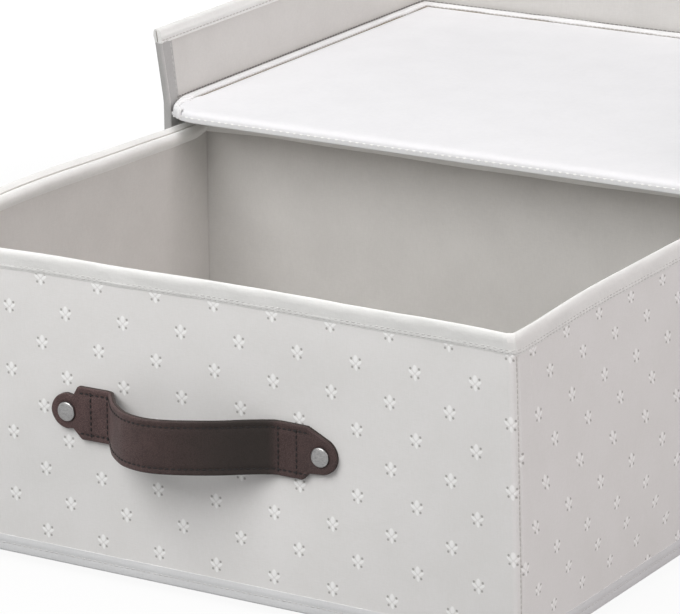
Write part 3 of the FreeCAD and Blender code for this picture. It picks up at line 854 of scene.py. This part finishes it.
sew("case_hem_stitches", [case_row(-0.6, hem_end + 1.4), case_row(case_wall + 0.58, hem_end + 1.4)],
    hem_stitch, seam_thread, "case", "plain_cloth")
sew("case_foot_stitches", [case_row(-0.62, case_foot_height - 1.5)], strip_stitch, pale_thread,
    "case", "plain_cloth")
edge_rows = []
z = np.arange(3.0, hem_end - 1, row_step)
for start, way in ((0.0, 1.0), (case_length, -1.0)):
    for along, inset in ((edge_tape_outside - 1.5, -0.62), (edge_tape_inside - 2.0, case_wall + 0.72)):
        edge_rows.append(case_point(start + way * along, inset, z))
sew("case_edge_stitches", edge_rows, strip_stitch, pale_thread, "case", "plain_cloth")


# ----------------------------------------------
# Drawer walls: soft cloth-covered board. Each wall is a printed cover, a board and a
# lining, sewn up the corners. The mouth leans in a little and the long sides bow inward.
# ----------------------------------------------
drawer_half = 183.0
drawer_front = -399.6
drawer_back = -110.6
drawer_corner = 5.0
drawer_low = 4.6
drawer_height = 160.0
drawer_top = drawer_low + drawer_height
drawer_wall = 4.2
front_bow = 4.6
front_forward = 1.0
right_lean = 2.3
right_bow = 6.5
back_lean = 2.5
back_bow = 3.0
lean_power = 1.6
rim_tip = 1.8
rim_tip_from = 0.935
dent_depth = 2.2
dent_size = 40.0
dent_x = 48.0
dent_z = 87.0

left_at = (0, 0.2, 0.38, 0.51, 0.68, 0.84, 0.94, 1)
left_lean = (0.3, 0.5, 1.1, 3.3, 5.0, 5.3, 3.8, 1.6)
left_sag = (0, 0, 0, 0.1, 1.4, 3.1, 3.9, 1.2)
lift_at = (-183, -95, -54, -8, 40, 86, 132, 165, 183)
front_lift = (0.55, 0.6, 0.5, 0.5, 1.1, 0.25, 1.15, 0.9, 0.6)

drawer_line = walk([(-drawer_half, drawer_front, drawer_corner), (drawer_half, drawer_front, drawer_corner),
                    (drawer_half, drawer_back, drawer_corner), (-drawer_half, drawer_back, drawer_corner)],
                   True)
drawer_line["u"] = drawer_line["u"] - 3.93
drawer_start = drawer_line["u"][0]
drawer_round = drawer_line["u"][-1] - drawer_start


def soften(points):
    """Leans and bows the drawer's walls, more towards their top, and dents the front by the handle."""
    x, y, z = points[..., 0], points[..., 1], points[..., 2]
    along = np.clip((y - drawer_front) / (drawer_back - drawer_front), 0, 1)
    across = np.clip((x + drawer_half) / (2 * drawer_half), 0, 1)
    height = np.clip((z - drawer_low) / drawer_height, 0, 1.05)
    high = height ** lean_power
    left = np.interp(along, left_at, left_lean) * high
    tipped = rim_tip * np.clip((height - rim_tip_from) / (1 - rim_tip_from), 0, 1) ** 1.3
    right = (right_lean + right_bow * np.sin(math.pi * along)) * high + tipped
    front = front_bow * np.sin(math.pi * across ** 1.35) ** 1.5 - front_forward
    back = back_lean + back_bow * np.sin(math.pi * across)
    dent = dent_depth * np.exp(-((x - dent_x) ** 2 + (z - dent_z) ** 2) / dent_size ** 2)
    moved_x = x - np.clip(x / drawer_half, -1, 1) * np.where(x < 0, left, right)
    moved_y = y + (1 - along) * (front * height ** 0.9 + dent) - along * back * high
    ripple = 0.35 * np.sin(x / 37 + 0.8) * np.sin(y / 43 + 0.4) + 0.2 * np.sin(x / 13 + y / 17)
    lift = np.interp(x, lift_at, front_lift) * np.clip(1 - 12 * along, 0, 1)
    sag = np.interp(along, left_at, left_sag) * np.clip(1 - 8 * across, 0, 1)
    return np.stack([moved_x, moved_y, z + (ripple + lift - sag) * height ** 4], -1)


def drawer_point(u, inset, z):
    """A point in the drawer's wall: distance round it from the front-left corner, inset and height."""
    u = drawer_start + (np.asarray(u, float) - drawer_start) % drawer_round
    x, y = beside(drawer_line, u, inset)
    return soften(spots(x, y, z))


front_run = 2 * (drawer_half - drawer_corner)
side_run = drawer_back - drawer_front - 2 * drawer_corner
quarter = math.pi / 2 * drawer_corner
right_from = 3 * quarter / 2 + front_run
back_from = right_from + side_run
left_from = back_from + 2 * quarter + front_run
corner_seam = right_from - 3.0
side_rows = (21.0, 34.5, 49.0, 66.5, 85.5, 105.0, 121.5, 141.0, 155.0)
side_drift_front = (16.9, 18.0, 19.6, 16.5, 6.5, 1.4, 0.0, -3.0, -5.0)
side_drift_back = (3.0, 9.0, 12.0, 13.5, 7.5, 0.5, -1.0, -4.0, -6.0)
side_print_height = side_rows[6]
side_print_from = right_from + 12.0


def pushed_in(u, z):
    """How far the drawer's cover is pushed in from a flat wall."""
    x, y = beside(drawer_line, u, 0)
    flat = spots(x, y, z)
    out = np.stack([np.interp(u, drawer_line["u"], column) for column in drawer_line["out"].T], -1)
    return -((soften(flat) - flat)[..., :2] * out).sum(-1)


def front_print(u, z):
    """The front's cloth is drawn up where the wall is pushed in, and sags at its left end."""
    push = pushed_in(u, z)
    across = np.clip(u / front_run, 0, 1)
    sagged = 4.0 * np.clip(1 - 2 * across, 0, 1) * (z - drawer_low) / drawer_height
    return u + 0.1 * push - 1.5 * across, z + 0.38 * push + sagged - 0.6


def side_print(u, z):
    """The right side's cloth was glued on unevenly, so its rows slant and crowd together."""
    push = pushed_in(u, z)
    across = u - 1.6 * push
    up = z + 0.64 * push - (0.012 + 0.07 * (1 - z / 125)) * (u - side_print_from)
    share = np.clip((across - side_print_from) / 70, -0.3, 1.6)
    drift = np.interp(up, side_rows, side_drift_front) * (1 - share)
    drift = drift + np.interp(up, side_rows, side_drift_back) * share
    level = np.interp(up, side_rows, side_print_height + print_row * np.arange(-6, 3))
    return across - drift, np.where((up < side_rows[0]) | (up > side_rows[-1]), up, level)


drawer_spans = ((5.2, drawer_top - 2.4, 0.35, 0), (5.2, drawer_top - 2.2, 0.0, 0),
                (7.6, drawer_top - 1.9, -0.25, 1))
for side, start, end, seed, printed in (
        ("front", -quarter / 2, corner_seam, 71,
         {"print_from": (91.63, print_height), "print_at": front_print}),
        ("right", corner_seam, back_from, 82,
         {"print_from": (right_from + 12.7, side_print_height), "print_at": side_print,
          "creased_at": right_from + 9.5}),
        ("back", back_from, left_from, 93, {"print_from": (back_from + 20.0, print_height)}),
        ("left", left_from, left_from + side_run, 104, {"print_from": (left_from + 9.0, print_height)})):
    layered("drawer", side, drawer_point, drawer_line, start, end, drawer_wall, seed, drawer_spans,
            **printed)


# ----------------------------------------------
# Drawer base: a card board between a plain cloth underneath and a lining, glued together.
# It lies inside the walls, and the cloth underneath reaches out to their faces.
# ----------------------------------------------
base_lining_low = 7.6
base_lining_relief = 0.5


def drawer_flat(name, inset, low, high, material, relief=0.0):
    """A cloth over the drawer's base, out to an inset from the drawer's outline."""
    u = np.linspace(drawer_start, drawer_line["u"][-1], 220)[:-1]
    x, y = beside(drawer_line, u, inset)
    centre = np.array((0.0, (drawer_front + drawer_back) / 2, high))
    top = shrunk(spots(x, y, high), centre, (1.0, 0.97, 0.9, 0.8, 0.65, 0.5, 0.35, 0.2))
    if relief:
        top[..., 2] += relief * (unevenness(top, 75, 17) + 1) * np.array([0, 0.4, 1, 1, 1, 1, 1, 1])
    return disc(name, top, top - (0, 0, high - low), centre, material)


fit(drawer_flat("drawer_base_cloth", 0.0, drawer_low, drawer_low + cloth, plain_cloth),
    "drawer", "plain_cloth", "drawer_base_cover")
fit(drawer_flat("drawer_base_lining_cloth", drawer_wall, base_lining_low, base_lining_low + cloth,
                lining_cloth, base_lining_relief),
    "drawer", "lining_cloth", "drawer_base_lining")


# ----------------------------------------------
# Drawer hem and foot: a plain strip is folded over the mouth and sewn down with two rows of
# stitches outside and one inside, and another strip is sewn round the foot.
# ----------------------------------------------
drawer_hem = 10.4
drawer_hem_stitch = (3.3, 2.4, 0.26)
mouth_stitch = (2.8, 2.9, 0.3)
drawer_foot_stitch = (3.3, 2.5, 0.22)
corner_stitch = (2.6, 2.7, 0.32)


def profile(points, level):
    """A smooth line through points of (inset, height), with their heights counted from a level."""
    return bent([(inset, level + height) for inset, height in points])


hem_columns = drawer_start + np.linspace(0, drawer_round, 400)[:-1]
hem_line = profile([(-0.06, -drawer_hem), (-0.2, -9.9), (-0.35, -9.2), (-0.52, -8.5), (-0.5, -7.8),
                    (-0.75, -5.8), (-1.0, -3.4), (-0.85, -1.6), (-0.35, -0.4), (0.45, 0.0), (1.4, -0.5),
                    (2.6, -1.6), (3.7, -2.7), (4.6, -2.5), (5.8, -3.2), (6.8, -4.6), (7.2, -6.1),
                    (6.9, -7.7), (6.1, -9.2), (5.3, -10.2), (4.75, -11.0)], drawer_top)
fit(swept_round("drawer_hem_cloth", drawer_point, hem_columns, doubled(hem_line[::-1], 0.6), plain_cloth,
                True, 0.35),
    "drawer", "plain_cloth", "drawer_rim_hem")
foot_line = profile([(-0.1, 0.05), (-0.62, 0.7), (-0.72, 3.0), (-0.62, 4.6), (-0.74, 6.4), (-0.5, 8.8)],
                    drawer_low)
fit(swept_round("drawer_foot_tape", drawer_point, drawer_line["u"][:-1], doubled(foot_line[::-1], 0.5),
                foot_cloth, True),
    "drawer", "plain_cloth", "drawer_foot_binding")


def drawer_row(inset, height):
    """A line of points round the drawer's walls, at one inset and height."""
    u = np.linspace(drawer_start, drawer_line["u"][-1], int(drawer_round / row_step))
    return drawer_point(u, inset, height)


sew("drawer_hem_stitches", [drawer_row(-0.52, drawer_top - 7.8), drawer_row(-0.37, drawer_top - 9.2)],
    drawer_hem_stitch, pale_thread, "drawer", "plain_cloth")
sew("drawer_mouth_stitches", [drawer_row(3.7, drawer_top - 2.6)], mouth_stitch, seam_thread,
    "drawer", "lining_cloth")
sew("drawer_foot_stitches", [drawer_row(-0.66, drawer_low + 4.6)], drawer_foot_stitch, pale_thread,
    "drawer", "plain_cloth")
corner_z = np.arange(14.5, drawer_top - drawer_hem - 0.5, row_step)
corner_rows = [drawer_point(u, 0.3, corner_z) for u in (-quarter / 2, corner_seam, back_from, left_from)]
sew("drawer_corner_stitches", corner_rows, corner_stitch, seam_thread, "drawer", "printed_cloth")


# ----------------------------------------------
# Strap handle: two layers of leatherette sewn together all round. The tabs lie flat against
# the drawer and are riveted through it; the grip between them arches out.
# ----------------------------------------------
rivet_x = 73.5
handle_height = drawer_low + 82.2
handle_shift = -0.9
strap_half = 13.6
strap_outer = 3.0
strap_inner = 1.4
tip_radius = 9.1
tab_from = 51.0
tab_edges = {(-1, 1): ((0.0, 9.1), (3.6, 8.5), (6.6, strap_half)),
             (-1, -1): ((0.0, 9.1), (3.6, 8.6), (8.6, strap_half)),
             (1, 1): ((-3.7, 8.32), (8.2, strap_half)),
             (1, -1): ((0.0, 9.1), (7.0, 9.8), (10.8, strap_half))}
strap_stitch = (3.0, 2.3, 0.42)
stitch_margin = 3.1
stitch_width = 0.8
stitch_sink = 0.35
stitch_out = strap_outer - 0.22
cap_reach = 4.6
cap_sink = 0.45
cross_stitches = (59.3, 48.6)
grip_knots = ((50.5, 0.0), (46.0, 0.5), (43.0, 1.8), (35.4, 6.1), (23.5, 14.2), (10.2, 21.0), (-0.8, 25.4),
              (-10.0, 27.0), (-17.4, 26.1), (-23.7, 24.0), (-29.9, 19.6), (-35.8, 14.3), (-41.0, 8.0),
              (-44.5, 3.6), (-47.0, 1.0), (-50.5, 0.0))


def leather_material(name, light, dark, gloss):
    """Dark brown leatherette: fine pebbled grain, a painted shade that darkens its right half, and a slight
    shine.
    """
    made = bpy.data.materials.new(name)
    hide = emptied(made)
    at = millimetres(hide)
    grain = smooth(hide.node("ShaderNodeTexVoronoi", {"Vector": at, "Scale": 1.25},
                             feature="DISTANCE_TO_EDGE"), 0.0, 0.28)
    cloud = stretched_noise(at, (0.12, 0.12, 0.12), 4.0)
    across = hide.node("ShaderNodeSeparateXYZ", {0: at})
    # Painted shade: the colour darkens towards the grip's right end and eases off again on the right tab,
    # standing in for the shade on that side of the strap.
    painted_shade_right = smooth(across, -48, 36) * smooth(across, 42, 50, 0.95, 0.35)
    colour = blend(smooth(cloud * 0.6 + grain * 0.4, 0.25, 0.8), srgb(*dark), srgb(*light))
    finished(hide, grain + cloud * 0.6, 0.55, 0.00018,
             {"Base Color": blend(painted_shade_right, colour, srgb(30, 24, 20)), "Specular IOR Level": 0.28,
              "Roughness": smooth(grain + cloud, 0.3, 1.4, gloss + 0.12, gloss)})
    return made


strap_leather = leather_material("strap_leather", (95, 74, 72), (67, 51, 50), 0.48)
lining_leather = leather_material("lining_leather", (70, 61, 58), (54, 46, 44), 0.62)
brown_thread = thread_material("brown_thread", (20, 15, 14), (11, 8, 8), 0.8)

strap_end = rivet_x + tip_radius
tip_x = np.concatenate([strap_end - 1.2 * np.linspace(0, 1, 7) ** 2,
                        np.arange(strap_end - 2.0, tab_from, -0.8)])
tab = np.stack([tip_x, np.zeros_like(tip_x)], -1)
strap_places = np.concatenate([tab, bent(grip_knots, 8), tab[::-1] * (-1, 1)])
strap_ways = np.gradient(strap_places, axis=0)
strap_ways /= np.linalg.norm(strap_ways, axis=1)[:, None]
strap_x = strap_places[:, 0]
strap_stations = np.arange(len(strap_places))


def strap_edge(x, up):
    """Half of the strap's width at places along it: above its middle line, or below it."""
    inward = rivet_x - np.abs(x)
    tip = np.sqrt(np.clip(tip_radius ** 2 - inward ** 2, 0.15 ** 2, None))
    half = [np.where(inward < edge[0][0], tip, np.interp(inward, *zip(*edge)))
            for edge in (tab_edges[-1, up], tab_edges[1, up])]
    return np.where(x < 0, *half)


def strap_point(along, across, out):
    """A point of the strap by station, height from its middle line and distance from its inner face."""
    columns = np.hstack([strap_places, strap_ways]).T
    x, y, way_x, way_y = (np.interp(along, strap_stations, column) for column in columns)
    x, y = x + way_y * out + handle_shift, y - way_x * out
    return soften(spots(x, drawer_front - y, handle_height + across))


def strap_skin(name, near, far, edge, material):
    """One leather layer between two distances from the strap's inner face, with rounded edges. The
    outer layer sinks in along its stitches and under the rivets' caps."""
    place = strap_x[:, None]
    quarter_turn = np.linspace(0, math.pi / 2, 18)
    samples = np.concatenate([-np.cos(quarter_turn), np.cos(quarter_turn[::-1])[1:]])[None]
    wide = np.where(samples > 0, strap_edge(place, 1), strap_edge(place, -1))
    across = wide * samples
    rim = np.clip(np.abs(across) - (wide - edge), 0, edge)
    round_off = edge - np.sqrt(np.clip(edge ** 2 - rim ** 2, 0, None))
    outer = far - round_off
    if far == strap_outer:
        x = np.abs(place)
        seam_away = np.abs(np.abs(across) - (wide - stitch_margin))
        cross_away = np.min([np.abs(x - cross) for cross in cross_stitches], axis=0)
        valley = np.exp(-(seam_away / stitch_width) ** 2) * (x < rivet_x - 6)
        valley = valley + np.exp(-(cross_away / stitch_width) ** 2)
        round_cap = eased(np.clip((np.hypot(x - rivet_x, across) - cap_reach) / 1.6, 0, 1))
        outer = outer - stitch_sink * np.clip(valley, 0, 1) - cap_sink * (1 - round_cap)
    inner = near + round_off * 0.5
    faces = [strap_point(strap_stations[:, None], across, out) for out in (outer, inner)]
    return swept(name, np.concatenate([faces[0], faces[1][:, ::-1]], axis=1), material, sharp=60)


fit(strap_skin("handle_leather", strap_inner, strap_outer, 0.7, strap_leather),
    "drawer", "leatherette", "handle_strap")
fit(strap_skin("handle_lining_leather", 0.05, strap_inner, 0.4, lining_leather),
    "drawer", "leatherette", "handle_backing")

stitch_half = strap_half - stitch_margin
sewn_part = np.where(np.abs(strap_x) < rivet_x - 8.2)[0]
along = np.linspace(sewn_part[0], sewn_part[-1], 260)
strap_rows = [strap_point(along, sign * stitch_half, stitch_out) for sign in (-1, 1)]
across = np.linspace(-stitch_half, stitch_half, 14)
for place in cross_stitches:
    for sign in (-1, 1):
        along = np.interp(sign * place, strap_x[::-1], strap_stations[::-1])
        strap_rows.append(strap_point(along, across, stitch_out))
sew("handle_stitches", strap_rows, strap_stitch, brown_thread, "drawer", "leatherette")


# ----------------------------------------------
# Rivets: two steel rivets hold the strap. Each has a low domed cap outside, and is peened
# over a washer inside the drawer.
# ----------------------------------------------
cap_radius = 5.0
cap_under = 2.4
dome_from = 3.7
dome_height = 1.1
shank_radius = 1.8
peen_radius = 2.8
peen_from = -5.0
peen_height = 0.9
washer_hole = 1.9
washer_thick = 0.8

rivet_steel = bpy.data.materials.new("rivet_steel")
steel = emptied(rivet_steel)
scratch = stretched_noise(millimetres(steel), (0.6, 3.0, 3.0), 5.0)
finished(steel, scratch, 0.3, 0.00005,
         {"Base Color": blend(smooth(scratch, 0.3, 0.7), srgb(132, 131, 131), srgb(160, 159, 158)),
          "Metallic": 1.0, "Roughness": smooth(scratch, 0.2, 0.8, 0.38, 0.26)})


def turned_pair(name, outline, hollow=False, steps=40):
    """A solid turned round each rivet's axis from (radius, distance outward), both in one piece."""
    turn = np.linspace(0, 2 * math.pi, steps, endpoint=False)
    radius, distance = (column[:, None] for column in np.array(outline).T)
    points, faces = [], []
    for x in (-rivet_x, rivet_x):
        at = soften(np.array([[x + handle_shift, drawer_front, handle_height]]))[0]
        rings = spots(at[0] + radius * np.cos(turn), at[1] - distance,
                      handle_height + radius * np.sin(turn))
        index = len(points) + np.arange(len(outline) * steps).reshape(-1, steps)
        here = index if hollow else index[:-1]
        after = np.roll(index, -1, axis=0) if hollow else index[1:]
        quads = np.stack([here, np.roll(here, -1, axis=1), np.roll(after, -1, axis=1), after], -1)
        faces += quads.reshape(-1, 4).tolist()
        if not hollow:
            faces += [index[0][::-1].tolist(), index[-1].tolist()]
        points += rings.reshape(-1, 3).tolist()
    return shaped(name, points, faces, rivet_steel, 40)


near_quarter = math.pi / 2 * 0.97
dome = [(cap_radius * math.cos(t), dome_from + dome_height * math.sin(t))
        for t in np.linspace(0, near_quarter, 10)]
peen = [(peen_radius * math.cos(t), peen_from - peen_height * math.sin(t))
        for t in np.linspace(near_quarter, 0, 6)]
shank = [(shank_radius, peen_from + 0.1), (shank_radius, cap_under), (cap_radius - 0.3, cap_under),
         (cap_radius, cap_under + 0.3)]
fit(turned_pair("rivet_caps", peen + shank + dome), "drawer", "rivet_metal", "handle_rivets")
washer = [(washer_hole, peen_from), (cap_radius - 0.2, peen_from), (cap_radius, peen_from + 0.2),
          (cap_radius, peen_from + washer_thick), (washer_hole, peen_from + washer_thick)]
fit(turned_pair("rivet_washer_pair", washer, hollow=True), "drawer", "rivet_metal", "rivet_washers")


# ----------------------------------------------
# Boards of the case's floor, the deck and the drawer's base: they show only at their edges,
# so they stay as they were cut, in the same grey-brown card as the walls' boards.
# ----------------------------------------------
for name in ("case_floor_board", "deck_board", "drawer_base_board"):
    materials = bpy.data.objects[name].data.materials
    materials.clear()
    materials.append(card)
